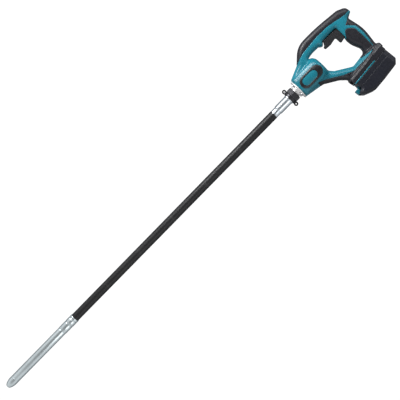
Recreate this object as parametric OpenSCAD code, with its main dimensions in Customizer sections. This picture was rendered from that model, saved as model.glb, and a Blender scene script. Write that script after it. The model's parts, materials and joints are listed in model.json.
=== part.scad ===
// Cordless concrete vibrator: motor in a D-shaped handle, rubber hose with a flexible shaft,
// and a steel vibrating head. Z runs up the tool axis and X points to the battery. The origin is
// on the axis, midway between the two strap eyes. Heights in this file are counted from the lower
// face of the nose flange, and place() sets each piece into the frame.

/* [Handle] */
// Width of the hand grips
grip_w = 38; // [34:1:42]
// Thickness of the plastic housing walls
wall = 3.2; // [3:0.1:3.6]
// Thickness of the rubber moulded over the grips
rubber_t = 1.5; // [1:0.1:1.8]
// Radius of the round motor barrel
barrel_r = 35; // [34.5:0.1:36]
// Width of the foot that holds the battery
foot_w = 75; // [73:1:78]
// Lean of the battery away from the tool axis, in degrees
battery_lean = 5; // [4:0.5:6]

/* [Controls] */
// Width of the trigger
trigger_w = 22; // [18:1:23]
// Travel of the trigger, in degrees
trigger_pull = 8; // [6:0.5:8.5]
// Radius of the lock-on button
lock_r = 5; // [4:0.5:5.5]

/* [Battery] */
// Width of the battery case
battery_w = 75; // [72:1:78]
// Thickness of the battery case in front of its rail
battery_t = 47; // [46:0.5:50]
// Radius of one battery cell
cell_r = 9.15; // [9:0.05:9.2]

/* [Hose] */
// Outer radius of the rubber hose
hose_r = 11.9; // [11.8:0.1:12.4]
// Free length of the hose between its two metal sleeves
hose_len = 760; // [500:10:1500]
// Radius of the flexible steel shaft
core_r = 5; // [4:0.1:5.2]
// Bore of the hose
hose_bore_r = 6.4; // [6:0.1:7]

/* [Head] */
// Outer radius of the vibrating head
head_r = 12.5; // [12.2:0.1:13]
// Length of the vibrating head
head_len = 270; // [250:5:330]

/* [Hidden] */
$fn = 48;
corner_steps = 3;                // straight pieces in each rounded corner of an outline
clear = 0.05;                    // radial running clearance
big = 400;

// Heights along the tool axis
flange_h = 10;                   // top of the nose flange
plate_z = 6;                     // underside of its wide plate
neck_r = 13;
nut_top = -3.2;
nut_bottom = -18;
nut_r = 20;                       // across the corners of the joint nut
nut_turn = 22;                    // how far the nut stopped past square, in degrees
hanger_bottom = -26;
sleeve_bottom = -82;
sleeve_step = -66;
bearing_z = 9;
bearing_h = 7;
bearing_r = 11;
shaft_r = 4;
fan_z = 18.5;
yoke_z = 27;
yoke_top = 83;
yoke_r = 24;
rear_bearing_r = 8;
rear_shaft_r = 2.5;

// Hose made of stiff lengths that meet in ball ends
joints_n = 6;
pitch = hose_len / joints_n;
ball_r = hose_r - 0.6;
cup_r = ball_r + 0.1;
ball_cut = 6;                    // height of the flat on top of each ball
rim_gap = 2;                     // distance from each joint centre to the square hose ends
core_gap = 1.6;
hose_end = sleeve_bottom - hose_len;
function joint_z(k) = sleeve_bottom - pitch * (k - 0.5);

// Head
joint_len = 50;
case_top = hose_end - joint_len;
head_bottom = hose_end - head_len;
tip_len = 33;
tip_top = head_bottom + tip_len;
case_bore_r = head_r - 2.9;
spigot_len = 14;

// Trigger pivot and battery frame
pivot = [-45, 141];
battery_at = [94, 0, 154];
rail_t = 14;                     // thickness of the rail block behind the battery case
channel_d = 15;                  // depth of the channel in the foot
channel_w = 56.8;
lip_w = 48.8;
plunger_z = 172;
strap_x = 22;
strap_hole_r = 1.8;
strap_z = (nut_bottom + hanger_bottom) / 2;

// ---------- Outlines ----------
// A corner is [x, z, r]; an outline rounds each corner with an arc of radius r.
function flat(v) = [v[0], v[1]];
function unit(v) = v / norm(v);
function corner(a, b, c) =
    let (to_a = unit(flat(a) - flat(b)),
         to_c = unit(flat(c) - flat(b)),
         half = acos(to_a * to_c) / 2,
         centre = flat(b) + unit(to_a + to_c) * b[2] / sin(half),
         from = flat(b) + to_a * b[2] / tan(half) - centre,
         to = flat(b) + to_c * b[2] / tan(half) - centre,
         turn = 180 - 2 * half)
    b[2] == 0 ? [flat(b)] :
    [for (i = [0 : corner_steps])
        let (t = i / corner_steps)
        centre + (from * sin((1 - t) * turn) + to * sin(t * turn)) / sin(turn)];
function rounded(c) =
    let (n = len(c))
    [for (i = [0 : n - 1]) each corner(c[(i + n - 1) % n], c[i], c[(i + 1) % n])];

// Side view of the loop handle, from the nose round the front bar, horn and top grip
frame_corners = [
    [-30.5, 12, 0], [-46, 48.3, 12], [-79, 83.5, 55], [-80, 142, 500], [-71.5, 218, 25],
    [-61.5, 238.6, 14], [-44.5, 242.4, 5], [-36.5, 225, 5], [9.5, 234.5, 120], [56, 227.8, 20],
    [70, 230, 0], [80, 114, 0], [73, 112.5, 8], [59, 98.5, 25], [37, 63, 8], [25, 12, 0]
];
opening_corners = [
    [-40.5, 183, 3], [-40.5, 138, 1], [-32.5, 130.5, 2], [-35, 125.5, 3], [-39.3, 121, 3],
    [-40, 100, 25], [-37, 81, 5], [-26, 81, 5], [-17, 94.4, 10], [20, 94.4, 18],
    [33, 105.5, 15], [59.5, 147, 14], [54, 192, 10], [40, 193.5, 18], [14, 183, 60]
];
trigger_corners = [
    [-42, 188, 4], [-9, 188, 1], [-5.5, 172, 3], [-8, 169, 2], [-25, 168.5, 3],
    [-21, 148, 5], [-22.5, 131, 3], [-29, 129.5, 2], [-31.5, 134.5, 1], [-42, 141, 0]
];
// The foot and the battery are drawn in the battery's own leaning frame
foot_corners = [
    [-26, 76, 0], [-22, 79.8, 1], [-11, 78.4, 1], [-11, 76, 0], [-0.4, 76, 1],
    [-0.4, -37.5, 1], [-20, -37.5, 3], [-30.5, -5, 20], [-32, 50, 30]
];
battery_corners = [
    [0, -36, 1], [17, -36, 1], [20, -46, 1], [24, -49.3, 3], [35.5, -39.5, 12],
    [battery_t, -17, 10], [battery_t, 20, 60], [battery_t - 2, 63.5, 6], [34, 75.7, 5],
    [0, 75.7, 1]
];

module frame_outline() {
    difference() {
        polygon(rounded(frame_corners));
        polygon(rounded(opening_corners));
    }
}

// Half profile of the motor barrel, mirrored so that an inset leaves the axis alone
module barrel_profile() {
    half = [[0, flange_h], [27.5, flange_h], [31, 30], [barrel_r, 58], [barrel_r, 84],
            [barrel_r - 3, 90], [barrel_r - 10, 94.4], [0, 94.4]];
    polygon(half);
    mirror([1, 0]) polygon(half);
}

// Where rubber covers the plastic, in side view
module rubber_zones() {
    polygon(rounded([[-46, 48, 0], [-56, 78, 30], [-60.5, 130, 60], [-59, 172, 60],
                     [-48.5, 222, 10], [-49.5, 250, 0], [-90, 250, 0], [-90, 48, 0]]));
    polygon(rounded([[-21, 199, 3], [-21, 206, 4], [-3, 220.5, 20], [66, 220.5, 0],
                     [66, 176, 0], [-2, 176, 0], [-2, 186, 3], [-12, 190, 3]]));
    polygon(rounded([[-39, 227, 0], [-28, 206, 1], [-3, 226, 20], [56, 223.5, 0],
                     [56, 250, 0], [-39, 250, 0]]));
    polygon(rounded([[25, 54, 0], [33, 73, 8], [62, 118, 10], [68, 128, 0], [90, 105, 0],
                     [45, 54, 0]]));
}

module foot_rubber_zone() {
    polygon([[-26, -36], [-4, -36], [-4, 37], [2, 37], [2, 90], [-24, 90]]);
}

// ---------- Placing helpers ----------
module place() { translate([0, 0, -strap_z]) children(); }
module side_plate(w) { rotate([90, 0, 0]) linear_extrude(w, center = true) children(); }
module at_battery() { translate(battery_at) rotate([0, -battery_lean, 0]) children(); }
module tube(r, bore, z0, z1) {
    translate([0, 0, z0]) difference() {
        cylinder(r = r, h = z1 - z0);
        translate([0, 0, -1]) cylinder(r = bore, h = z1 - z0 + 2);
    }
}
module rod(r, z0, z1) { translate([0, 0, z0]) cylinder(r = r, h = z1 - z0); }
module block(low, high) { translate(low) cube(high - low); }
module across(x, z, r, y0, y1) { translate([x, y1, z]) rotate([90, 0, 0]) cylinder(r = r, h = y1 - y0); }
module left_half() { intersection() { children(); block([-big, -big, -big], [big, 0, big]); } }
module right_half() { intersection() { children(); block([-big, 0, -big], [big, big, big]); } }

// A close-coiled spring: rings of wire joined by one straight leg
module spring(r, wire, coils, step) {
    for (i = [0 : coils - 1]) translate([0, 0, i * step])
        rotate_extrude() translate([r, 0]) circle(r = wire, $fn = 16);
    translate([r, 0, 0]) cylinder(r = wire * 0.8, h = (coils - 1) * step, $fn = 16);
}

// Insulated wire of square section, laid through a list of [x, z] points
module wire(points, y, w) {
    translate([0, y, 0]) side_plate(w) {
        for (i = [0 : len(points) - 2]) {
            run = points[i + 1] - points[i];
            translate(points[i]) rotate(atan2(run[1], run[0]))
                translate([0, -w / 2]) square([norm(run), w]);
        }
        for (p = points) translate(p) circle(d = w, $fn = 12);
    }
}

// ---------- Housing ----------
module barrel(inset) {
    rotate_extrude() intersection() {
        offset(delta = -inset) barrel_profile();
        square([60, 120]);
    }
}

edge_steps = [[0, 3.4], [2.6, 0]];   // [cut from each side, cut from the outline]

module loop(inset) {
    for (s = edge_steps)
        side_plate(grip_w - 2 * inset - 2 * s[0])
            offset(delta = -inset - s[1]) frame_outline();
}

module foot_solid(inset) {
    for (s = edge_steps)
        at_battery() side_plate(foot_w - 2 * inset - 2 * s[0])
            offset(delta = -inset - s[1]) polygon(rounded(foot_corners));
}

module handle_solid(inset) {
    barrel(inset);
    loop(inset);
    foot_solid(inset);
}

screw_points = [[-54, 80], [-57, 226], [30, 208], [50, 107], [70, 134]];
screw_head_r = 3.4;
screw_r = 1.75;

module screw_bosses() {
    for (p = screw_points) across(p[0], p[1], 4.6, -grip_w / 2 + 1, grip_w / 2 - 1);
}

module screw_holes() {
    for (p = screw_points) {
        across(p[0], p[1], screw_r + clear, -12, grip_w / 2 - 5);
        across(p[0], p[1], screw_head_r + 0.3, grip_w / 2 - 5, foot_w);
    }
}

// Rings inside the barrel that hold the motor, and bosses for the nose screws
module motor_seats() {
    for (z = [36, 66]) tube(barrel_r - 2, yoke_r + clear, z, z + 4);
    for (a = [45 : 90 : 315]) rotate(a) translate([22, 0, flange_h]) cylinder(r = 4, h = 7.5);
}

module channel() {
    at_battery() {
        block([-channel_d, -channel_w / 2, -60], [-7.6, channel_w / 2, 76.2]);
        block([-8, -lip_w / 2, -60], [2, lip_w / 2, 76.2]);
        block([-18.6, -6.6, -60], [-14, 6.6, -21]);
    }
}

// Plastic kept round the channel so that the foot's hollow doesn't reach it
module channel_walls() {
    at_battery() block([-channel_d - wall, -foot_w / 2 + wall, -41], [0, foot_w / 2 - wall, 80]);
}

module terminal_window() {
    at_battery() block([-24, -12.2, 49.8], [-10, 12.2, 72.2]);
}

module trigger_shape(grow) {
    offset(delta = grow) {
        polygon(rounded(trigger_corners));
        translate(pivot) circle(r = 5.5);
    }
}

module trigger_slot() {
    for (a = [0, trigger_pull / 2, trigger_pull])
        side_plate(trigger_w + 1.2)
            translate(pivot) rotate(a) translate(-pivot) trigger_shape(1);
}

module housing_shell() {
    difference() {
        union() {
            difference() {
                handle_solid(0);
                difference() {
                    handle_solid(wall);
                    channel_walls();
                }
            }
            intersection() {
                handle_solid(rubber_t);
                union() {
                    screw_bosses();
                    motor_seats();
                    across(pivot[0], pivot[1], 5, -grip_w / 2 + 1, -trigger_w / 2 - 0.6);
                    across(pivot[0], pivot[1], 5, trigger_w / 2 + 0.6, grip_w / 2 - 1);
                }
            }
        }
        rubber_skin();
        screw_holes();
        channel();
        terminal_window();
        trigger_slot();
        rod(16.2, 0, 18);
        across(pivot[0], pivot[1], 1.8, -14.2, 14.2);
        across(-33, 196, lock_r + 0.1, 12, 30);
        for (a = [45 : 90 : 315]) rotate(a) translate([22, 0, 9]) cylinder(r = 1.8, h = 9);
    }
}

module rubber_skin() {
    difference() {
        intersection() {
            handle_solid(0);
            union() {
                side_plate(2 * foot_w) rubber_zones();
                at_battery() side_plate(2 * foot_w) foot_rubber_zone();
            }
        }
        handle_solid(rubber_t);
    }
}

module rubber_cover() {
    difference() {
        rubber_skin();
        barrel(-0.01);
        screw_holes();
        channel();
        trigger_slot();
    }
}

module housing_left() { place() color([0.13, 0.5, 0.6]) left_half() housing_shell(); }
module housing_right() { place() color([0.13, 0.5, 0.6]) right_half() housing_shell(); }
module grip_rubber_left() { place() color([0.17, 0.17, 0.2]) left_half() rubber_cover(); }
module grip_rubber_right() { place() color([0.17, 0.17, 0.2]) right_half() rubber_cover(); }

// Stadium-shaped frames that sit on both sides of the barrel
module stadium(w, z0, z1) {
    hull() for (z = [z0 + w / 2, z1 - w / 2]) translate([0, z]) circle(d = w);
}

module badge_bezels() {
    place() color([0.12, 0.12, 0.14]) for (side = [-1, 1]) intersection() {
        difference() { barrel(-1.4); barrel(-clear); }
        translate([1.5, side * 30, 0]) side_plate(50) difference() {
            stadium(34, 17, 87);
            stadium(22, 25, 70);
        }
    }
}

module housing_screws() {
    place() color([0.55, 0.56, 0.58]) for (p = screw_points) {
        across(p[0], p[1], screw_r, -11.5, grip_w / 2 - 5);
        across(p[0], p[1], screw_head_r, grip_w / 2 - 5, grip_w / 2 - 2.4);
    }
}

// ---------- Nose ----------
module nose_flange() {
    place() color([0.8, 0.81, 0.82]) difference() {
        rotate_extrude() polygon([
            [7.5, -16], [neck_r, -16], [neck_r, -0.3], [18.3, -0.3], [18.3, 2.8],
            [17, 3.4], [17, plate_z], [27, plate_z], [28, plate_z + 1], [28, flange_h - 1],
            [27, flange_h], [16, flange_h], [16, 17], [bearing_r + 0.02, 17],
            [bearing_r + 0.02, bearing_z], [7.5, bearing_z]
        ]);
        for (a = [45 : 90 : 315]) rotate(a) translate([22, 0, 0]) rod(2.1, 5, 12);
    }
}

module nose_screws() {
    place() color([0.5, 0.5, 0.52]) for (a = [45 : 90 : 315]) rotate(a) translate([22, 0, 0]) {
        rod(1.75, 5, 16);
        translate([0, 0, plate_z - 3.2]) difference() {
            cylinder(r = 3.05, h = 3.2);
            translate([0, 0, -1]) cylinder(r = 1.5, h = 2.8, $fn = 6);
        }
    }
}

module joint_nut() {
    place() color([0.15, 0.15, 0.17]) difference() {
        intersection() {
            translate([0, 0, nut_bottom]) rotate(nut_turn)
                cylinder(r = nut_r, h = nut_top - nut_bottom, $fn = 6);
            translate([0, 0, nut_bottom]) cylinder(r1 = nut_r - 2.4, r2 = nut_r + 12.4, h = 14.8);
            translate([0, 0, nut_bottom]) cylinder(r1 = nut_r + 13.6, r2 = nut_r - 1.2, h = 14.8);
        }
        rod(neck_r + clear, nut_bottom - 1, nut_top + 1);
    }
}

module strap_hanger() {
    place() color([0.15, 0.15, 0.17]) difference() {
        union() {
            rod(17.5, hanger_bottom + 0.1, nut_bottom - 0.1);
            block([-strap_x, -3, hanger_bottom + 0.1], [strap_x, 3, nut_bottom - 0.1]);
            for (x = [-strap_x, strap_x]) across(x, strap_z, 5.8, -3, 3);
        }
        rod(neck_r + clear, hanger_bottom - 1, nut_bottom + 1);
        for (x = [-strap_x, strap_x]) across(x, strap_z, strap_hole_r, -4, 4);
    }
}

module hose_sleeve() {
    place() color([0.78, 0.79, 0.8]) rotate_extrude() polygon([
        [7.5, -16.4], [neck_r, -16.4], [neck_r, hanger_bottom], [14.4, hanger_bottom],
        [14.4, hanger_bottom - 2.5], [13, hanger_bottom - 4], [13, sleeve_step],
        [11.6, sleeve_step - 1.5], [11.6, sleeve_bottom], [10.5, sleeve_bottom],
        [10.5, -30], [7.5, -30]
    ]);
}

// ---------- Motor ----------
module motor_bearings() {
    place() color([0.7, 0.71, 0.73]) {
        tube(bearing_r, shaft_r + clear, bearing_z, bearing_z + bearing_h);
        tube(rear_bearing_r, rear_shaft_r + clear, 84, 89);
    }
}

module motor_yoke() {
    place() color([0.45, 0.46, 0.48]) {
        difference() {
            union() {
                tube(yoke_r, yoke_r - 2.5, yoke_z, yoke_top);
                tube(yoke_r, rear_bearing_r + 0.02, yoke_top - 0.5, 87);
            }
            for (a = [0, 90, 180, 270]) rotate(a) translate([16, 0, 80]) cylinder(r = 3, h = 10);
        }
    }
}

module motor_magnets() {
    place() color([0.25, 0.25, 0.27]) for (a = [0 : 90 : 270]) rotate(a) intersection() {
        tube(yoke_r - 2.55, yoke_r - 5.5, 32, 68);
        translate([0, 0, 31]) linear_extrude(40) polygon([[0, 0], [40, -28], [40, 28]]);
    }
}

module motor_shaft() {
    place() color([0.75, 0.76, 0.78]) {
        rod(shaft_r, -12, 82);
        rod(rear_shaft_r, 81, 89);
    }
}

module armature_core() {
    place() color([0.5, 0.51, 0.53]) difference() {
        tube(17.5, shaft_r, 36, 64);
        for (a = [0 : 30 : 330]) rotate(a) block([14, -0.9, 35], [18, 0.9, 65]);
    }
}

module armature_windings() {
    place() color([0.72, 0.4, 0.2]) for (z = [[29, 36], [64, 70]]) tube(15.5, shaft_r, z[0], z[1]);
}

module commutator() {
    place() color([0.8, 0.5, 0.3]) difference() {
        tube(8.5, shaft_r, 71, 80);
        for (a = [0 : 30 : 330]) rotate(a) block([7.4, -0.3, 73], [10, 0.3, 81]);
    }
}

module cooling_fan() {
    place() color([0.2, 0.2, 0.22]) {
        tube(23, shaft_r, fan_z, fan_z + 1.6);
        tube(8, shaft_r, fan_z + 1, fan_z + 7);
        for (a = [0 : 30 : 330]) rotate(a) block([7.5, -0.7, fan_z + 1], [22.5, 0.7, fan_z + 7]);
    }
}

module brush_holder() {
    place() color([0.55, 0.42, 0.22]) difference() {
        tube(yoke_r - 2.55, 10.5, 71.5, 80);
        for (side = [0, 180]) rotate(side) block([8, -4.1, 72.4], [22, 4.1, 79.1]);
    }
}

module carbon_brushes() {
    place() color([0.12, 0.12, 0.12]) for (side = [0, 180]) rotate(side)
        block([8.6, -4, 72.6], [15.5, 4, 79]);
}

module brush_springs() {
    place() color([0.75, 0.76, 0.78]) for (side = [0, 180]) rotate(side)
        translate([16.2, 0, 75.8]) rotate([0, 90, 0]) spring(2, 0.4, 5, 1.1);
}

module drive_coupling() {
    place() color([0.7, 0.71, 0.73]) difference() {
        rod(6.9, -26, 0);
        rod(shaft_r, -12, 1);
        rod(core_r, -27, -13);
    }
}

// ---------- Trigger and switch ----------
module trigger() {
    place() color([0.13, 0.13, 0.15]) difference() {
        side_plate(trigger_w) trigger_shape(0);
        across(pivot[0], pivot[1], 1.75 + clear, -trigger_w, trigger_w);
    }
}

module trigger_pin() { place() color([0.7, 0.71, 0.73]) across(pivot[0], pivot[1], 1.75, -14, 14); }

module trigger_spring() {
    place() color([0.75, 0.76, 0.78]) translate([-54, 0, 152]) rotate([0, -90, 0])
        spring(3, 0.5, 6, 1.8);
}

module switch_body() {
    place() color([0.14, 0.14, 0.16]) difference() {
        block([-69.5, -8.5, 162], [-52, 8.5, 187]);
        translate([-60, 0, plunger_z]) rotate([0, 90, 0]) cylinder(r = 2.6, h = 10);
    }
}

module switch_plunger() {
    place() color([0.8, 0.2, 0.15]) translate([0, 0, plunger_z]) rotate([0, 90, 0]) {
        translate([0, 0, -54]) cylinder(r = 2.5, h = 10);
        translate([0, 0, -44.9]) sphere(r = 2.45);
    }
}

module lock_button() {
    place() color([0.13, 0.13, 0.15]) {
        across(-33, 196, lock_r, 14.4, 20.8);
        across(-33, 196, lock_r + 1.3, 14.4, 15.6);
    }
}

// ---------- Terminals and wiring ----------
module terminal_block() {
    place() color([0.16, 0.16, 0.18]) at_battery() block([-22, -12, 50], [-5, 12, 72]);
}

module terminal_blades() {
    place() color([0.8, 0.68, 0.35]) at_battery() for (y = [-8, 8])
        block([-12, y - 0.5, 26], [-6, y + 0.5, 50]);
}

module wiring() {
    place() color([0.6, 0.12, 0.1]) for (y = [-5, 5]) {
        wire([[62, 212], [45, 217], [18, 220], [0, 217], [-44, 207.5], [-60, 200], [-60, 188.3]], y, 2.4);
        wire([[-62, 160.7], [-60, 110], [-47, 88], [-36, 74.5], [-27, 73]], y, 2.4);
    }
}

// ---------- Battery ----------
split_x = 14;                    // plane where the two battery case parts meet

module battery_solid(inset) {
    side_plate(battery_w - 2 * inset) offset(delta = -inset) polygon(rounded(battery_corners));
}

module battery_rail() {
    block([-rail_t, -channel_w / 2 + 0.3, -33], [-8.1, channel_w / 2 - 0.3, 75]);
    block([-8.2, -lip_w / 2 + 0.3, -33], [0.1, lip_w / 2 - 0.3, 75]);
}

module button_slot() {
    block([-rail_t - 1, -6.3, -31.4], [19, 6.3, -23.6]);
    block([5.6, -6.3, -44], [19, 6.3, -23.6]);
    block([10.1, -13.4, -60], [28, 13.4, -38.2]);
}

battery_screw_points = [[31, -29], [31, 72.1], [-31, -29], [-31, 72.1]];

module battery_screw_holes() {
    for (p = battery_screw_points) translate([0, p[0], p[1]]) rotate([0, 90, 0]) {
        translate([0, 0, -20]) cylinder(r = 2.6, h = 22.4);
        cylinder(r = 1.6, h = 22);
    }
}

module battery_case_lower() {
    place() color([0.15, 0.16, 0.2]) at_battery() difference() {
        union() {
            difference() {
                battery_solid(0);
                battery_solid(2.6);
            }
            battery_rail();
            intersection() {
                battery_solid(1);
                for (p = battery_screw_points)
                    translate([0, p[0], p[1]]) rotate([0, 90, 0]) cylinder(r = 3, h = split_x);
            }
        }
        block([split_x, -100, -100], [100, 100, 100]);
        block([-rail_t - 1, -14, 20], [0.4, 14, 80]);
        block([-4, -14, 20], [4, 14, 60]);
        button_slot();
        battery_screw_holes();
    }
}

module battery_case_upper() {
    place() color([0.15, 0.16, 0.2]) at_battery() difference() {
        union() {
            difference() {
                battery_solid(0);
                battery_solid(2.6);
            }
            intersection() {
                battery_solid(1);
                for (p = battery_screw_points)
                    translate([split_x, p[0], p[1]]) rotate([0, 90, 0]) cylinder(r = 3, h = battery_t);
            }
        }
        block([-100, -100, -100], [split_x, 100, 100]);
        button_slot();
        battery_screw_holes();
    }
}

module battery_cells() {
    place() color([0.2, 0.45, 0.35]) at_battery() for (x = [13.6, 32.4], k = [0 : 4])
        across(x, -14.1 + 18.4 * k, cell_r, -32.5, 32.5);
}

module battery_terminals() {
    place() color([0.8, 0.68, 0.35]) at_battery() for (y = [-8, 8], side = [-1, 1])
        block([-12.5, y + side * 1.1 - 0.4, 24], [2.65, y + side * 1.1 + 0.4, 38]);
}

module battery_circuit_board() {
    place() color([0.1, 0.35, 0.2]) at_battery() block([2.7, -24, -18], [4.3, 24, 66]);
}

module battery_screws() {
    place() color([0.5, 0.5, 0.52]) at_battery() for (p = battery_screw_points)
        translate([0, p[0], p[1]]) rotate([0, 90, 0]) {
            translate([0, 0, 0.4]) cylinder(r = 2.4, h = 2);
            translate([0, 0, 1]) cylinder(r = 1.55, h = 20);
        }
}

module battery_button() {
    place() color([0.13, 0.5, 0.6]) at_battery() {
        block([10.5, -13, -51], [23, 13, -38.6]);
        block([6, -6, -40], [14, 6, -24]);
        block([-18, -6, -31], [14, 6, -24]);
    }
}

// ---------- Hose and flexible shaft ----------
// A length of hose: ball at its upper end if it hangs from a joint, cup at its lower end
module hose_length(top, bottom, ball, cup) {
    z_top = ball ? top - rim_gap : top;
    z_bottom = cup ? bottom + rim_gap : bottom;
    place() color([0.16, 0.16, 0.18]) difference() {
        union() {
            rod(hose_r, z_bottom, z_top);
            if (ball) intersection() {
                translate([0, 0, top]) sphere(r = ball_r);
                rod(hose_r, top - hose_r, top + ball_cut);
            }
        }
        rod(hose_bore_r, bottom - 1, top - 20);
        rod(ball ? 7.5 : hose_bore_r, top - 21, top + hose_r);
        if (cup) translate([0, 0, bottom]) sphere(r = cup_r);
    }
}

module core_length(top, bottom) {
    place() color([0.62, 0.63, 0.65]) rod(core_r, bottom + core_gap, top - core_gap);
}

module hose_top() {
    hose_length(sleeve_bottom - 0.05, joint_z(1), false, true);
    place() color([0.16, 0.16, 0.18]) tube(10.4, hose_bore_r, sleeve_bottom - 1, -30.5);
}
module hose_1() { hose_length(joint_z(1), joint_z(2), true, true); }
module hose_2() { hose_length(joint_z(2), joint_z(3), true, true); }
module hose_3() { hose_length(joint_z(3), joint_z(4), true, true); }
module hose_4() { hose_length(joint_z(4), joint_z(5), true, true); }
module hose_5() { hose_length(joint_z(5), joint_z(6), true, true); }
module hose_bottom() {
    hose_length(joint_z(6), hose_end, true, false);
    place() color([0.16, 0.16, 0.18]) tube(10.4, hose_bore_r, hose_end - 24, hose_end);
}

module flex_core_top() { core_length(-13 + core_gap, joint_z(1)); }
module flex_core_1() { core_length(joint_z(1), joint_z(2)); }
module flex_core_2() { core_length(joint_z(2), joint_z(3)); }
module flex_core_3() { core_length(joint_z(3), joint_z(4)); }
module flex_core_4() { core_length(joint_z(4), joint_z(5)); }
module flex_core_5() { core_length(joint_z(5), joint_z(6)); }
module flex_core_bottom() {
    core_length(joint_z(6), case_top + 8 - core_gap);
    place() color([0.62, 0.63, 0.65]) rod(3, case_top - 4, case_top + 9);
}

// ---------- Vibrating head ----------
module head_joint() {
    place() color([0.78, 0.8, 0.8]) rotate_extrude() polygon([
        [10.5, hose_end], [12.7, hose_end], [13.3, hose_end - 1], [13.3, hose_end - 6.5],
        [12.5, hose_end - 7], [12.5, hose_end - 8.5], [13.3, hose_end - 9],
        [13.3, hose_end - 23], [12.5, hose_end - 23.5], [12.5, hose_end - 25],
        [13, hose_end - 25.5], [13, case_top + 1], [12.4, case_top], [10, case_top],
        [10, case_top - spigot_len], [7.5, case_top - spigot_len], [7.5, case_top - 7],
        [hose_bore_r, case_top - 7], [hose_bore_r, hose_end - 24.5], [10.5, hose_end - 24.5]
    ]);
}

module oil_seal() {
    place() color([0.1, 0.1, 0.1]) tube(7.45, shaft_r + clear, case_top - 13.5, case_top - 7.2);
}

module head_case() {
    place() color([0.8, 0.82, 0.82]) rotate_extrude() polygon([
        [10.05, case_top], [12.4, case_top], [head_r, case_top - 1], [head_r, tip_top],
        [case_bore_r, tip_top], [case_bore_r, case_top - spigot_len - 2],
        [10.05, case_top - spigot_len - 2]
    ]);
}

module head_tip() {
    place() color([0.78, 0.8, 0.8]) rotate_extrude() polygon(concat(
        [[0, tip_top + 12], [case_bore_r - 0.02, tip_top + 12], [case_bore_r - 0.02, tip_top],
         [head_r, tip_top], [head_r, tip_top - 15], [11.2, tip_top - 21],
         [9.6, tip_top - 26.5], [7, tip_top - 31]],
        [[4.8, head_bottom], [0, head_bottom]]
    ));
}

module head_bearings() {
    place() color([0.7, 0.71, 0.73])
        for (z = [case_top - 26, tip_top + 14])
            tube(case_bore_r - 0.02, shaft_r + clear, z, z + 8);
}

module eccentric_rotor() {
    place() color([0.6, 0.61, 0.63]) {
        rod(shaft_r, tip_top + 13.5, case_top - 5);
        difference() {
            rod(5.6, case_top - 6, case_top + 6);
            rod(3, case_top - 4, case_top + 7);
        }
        difference() {
            rod(case_bore_r - 1.2, tip_top + 26, case_top - 30);
            block([-20, 1.5, tip_top], [20, 20, case_top]);
        }
    }
}

housing_left();
housing_right();
grip_rubber_left();
grip_rubber_right();
badge_bezels();
housing_screws();
nose_flange();
nose_screws();
joint_nut();
strap_hanger();
hose_sleeve();
motor_bearings();
motor_yoke();
motor_magnets();
motor_shaft();
armature_core();
armature_windings();
commutator();
cooling_fan();
brush_holder();
carbon_brushes();
brush_springs();
drive_coupling();
trigger();
trigger_pin();
trigger_spring();
switch_body();
switch_plunger();
lock_button();
terminal_block();
terminal_blades();
wiring();
battery_case_lower();
battery_case_upper();
battery_cells();
battery_terminals();
battery_circuit_board();
battery_screws();
battery_button();
hose_top();
hose_1();
hose_2();
hose_3();
hose_4();
hose_5();
hose_bottom();
flex_core_top();
flex_core_1();
flex_core_2();
flex_core_3();
flex_core_4();
flex_core_5();
flex_core_bottom();
head_joint();
oil_seal();
head_case();
head_tip();
head_bearings();
eccentric_rotor();
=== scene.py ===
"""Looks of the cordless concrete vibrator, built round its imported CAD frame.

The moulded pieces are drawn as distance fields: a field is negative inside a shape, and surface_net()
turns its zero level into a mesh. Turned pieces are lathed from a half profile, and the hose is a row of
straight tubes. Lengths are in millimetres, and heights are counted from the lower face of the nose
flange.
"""

import json
import math

import bpy
import numpy as np
from mathutils import Matrix, Vector

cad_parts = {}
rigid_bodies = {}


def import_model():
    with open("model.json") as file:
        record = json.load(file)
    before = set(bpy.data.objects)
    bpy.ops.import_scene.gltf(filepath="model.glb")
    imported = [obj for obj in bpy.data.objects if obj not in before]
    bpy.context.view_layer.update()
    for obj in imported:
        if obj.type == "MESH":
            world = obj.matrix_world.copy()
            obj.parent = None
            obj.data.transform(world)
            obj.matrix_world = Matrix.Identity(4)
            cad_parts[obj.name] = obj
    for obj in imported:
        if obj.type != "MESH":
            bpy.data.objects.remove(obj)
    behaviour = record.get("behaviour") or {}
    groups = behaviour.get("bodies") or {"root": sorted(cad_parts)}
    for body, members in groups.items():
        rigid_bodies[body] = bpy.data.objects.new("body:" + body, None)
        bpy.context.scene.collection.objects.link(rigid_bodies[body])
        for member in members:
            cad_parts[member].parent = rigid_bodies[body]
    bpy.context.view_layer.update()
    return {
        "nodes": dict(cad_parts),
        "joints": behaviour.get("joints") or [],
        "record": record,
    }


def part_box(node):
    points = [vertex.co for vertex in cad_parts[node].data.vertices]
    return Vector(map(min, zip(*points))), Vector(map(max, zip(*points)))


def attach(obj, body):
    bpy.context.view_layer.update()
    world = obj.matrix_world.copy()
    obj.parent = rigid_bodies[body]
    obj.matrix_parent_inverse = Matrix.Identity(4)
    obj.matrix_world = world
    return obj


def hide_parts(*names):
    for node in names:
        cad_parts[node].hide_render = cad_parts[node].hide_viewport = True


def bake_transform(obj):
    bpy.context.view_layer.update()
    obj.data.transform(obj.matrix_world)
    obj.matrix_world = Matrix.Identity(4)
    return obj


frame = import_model()

MM = 0.001
FLANGE_BOSS_TOP = 17.0
NOSE_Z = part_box("nose_flange")[1].z / MM - FLANGE_BOSS_TOP


def low(node):
    """Lowest corner of a CAD node, in this script's millimetres."""
    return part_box(node)[0] / MM - Vector((0, 0, NOSE_Z))


def high(node):
    """Highest corner of a CAD node, in this script's millimetres."""
    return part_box(node)[1] / MM - Vector((0, 0, NOSE_Z))


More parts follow.
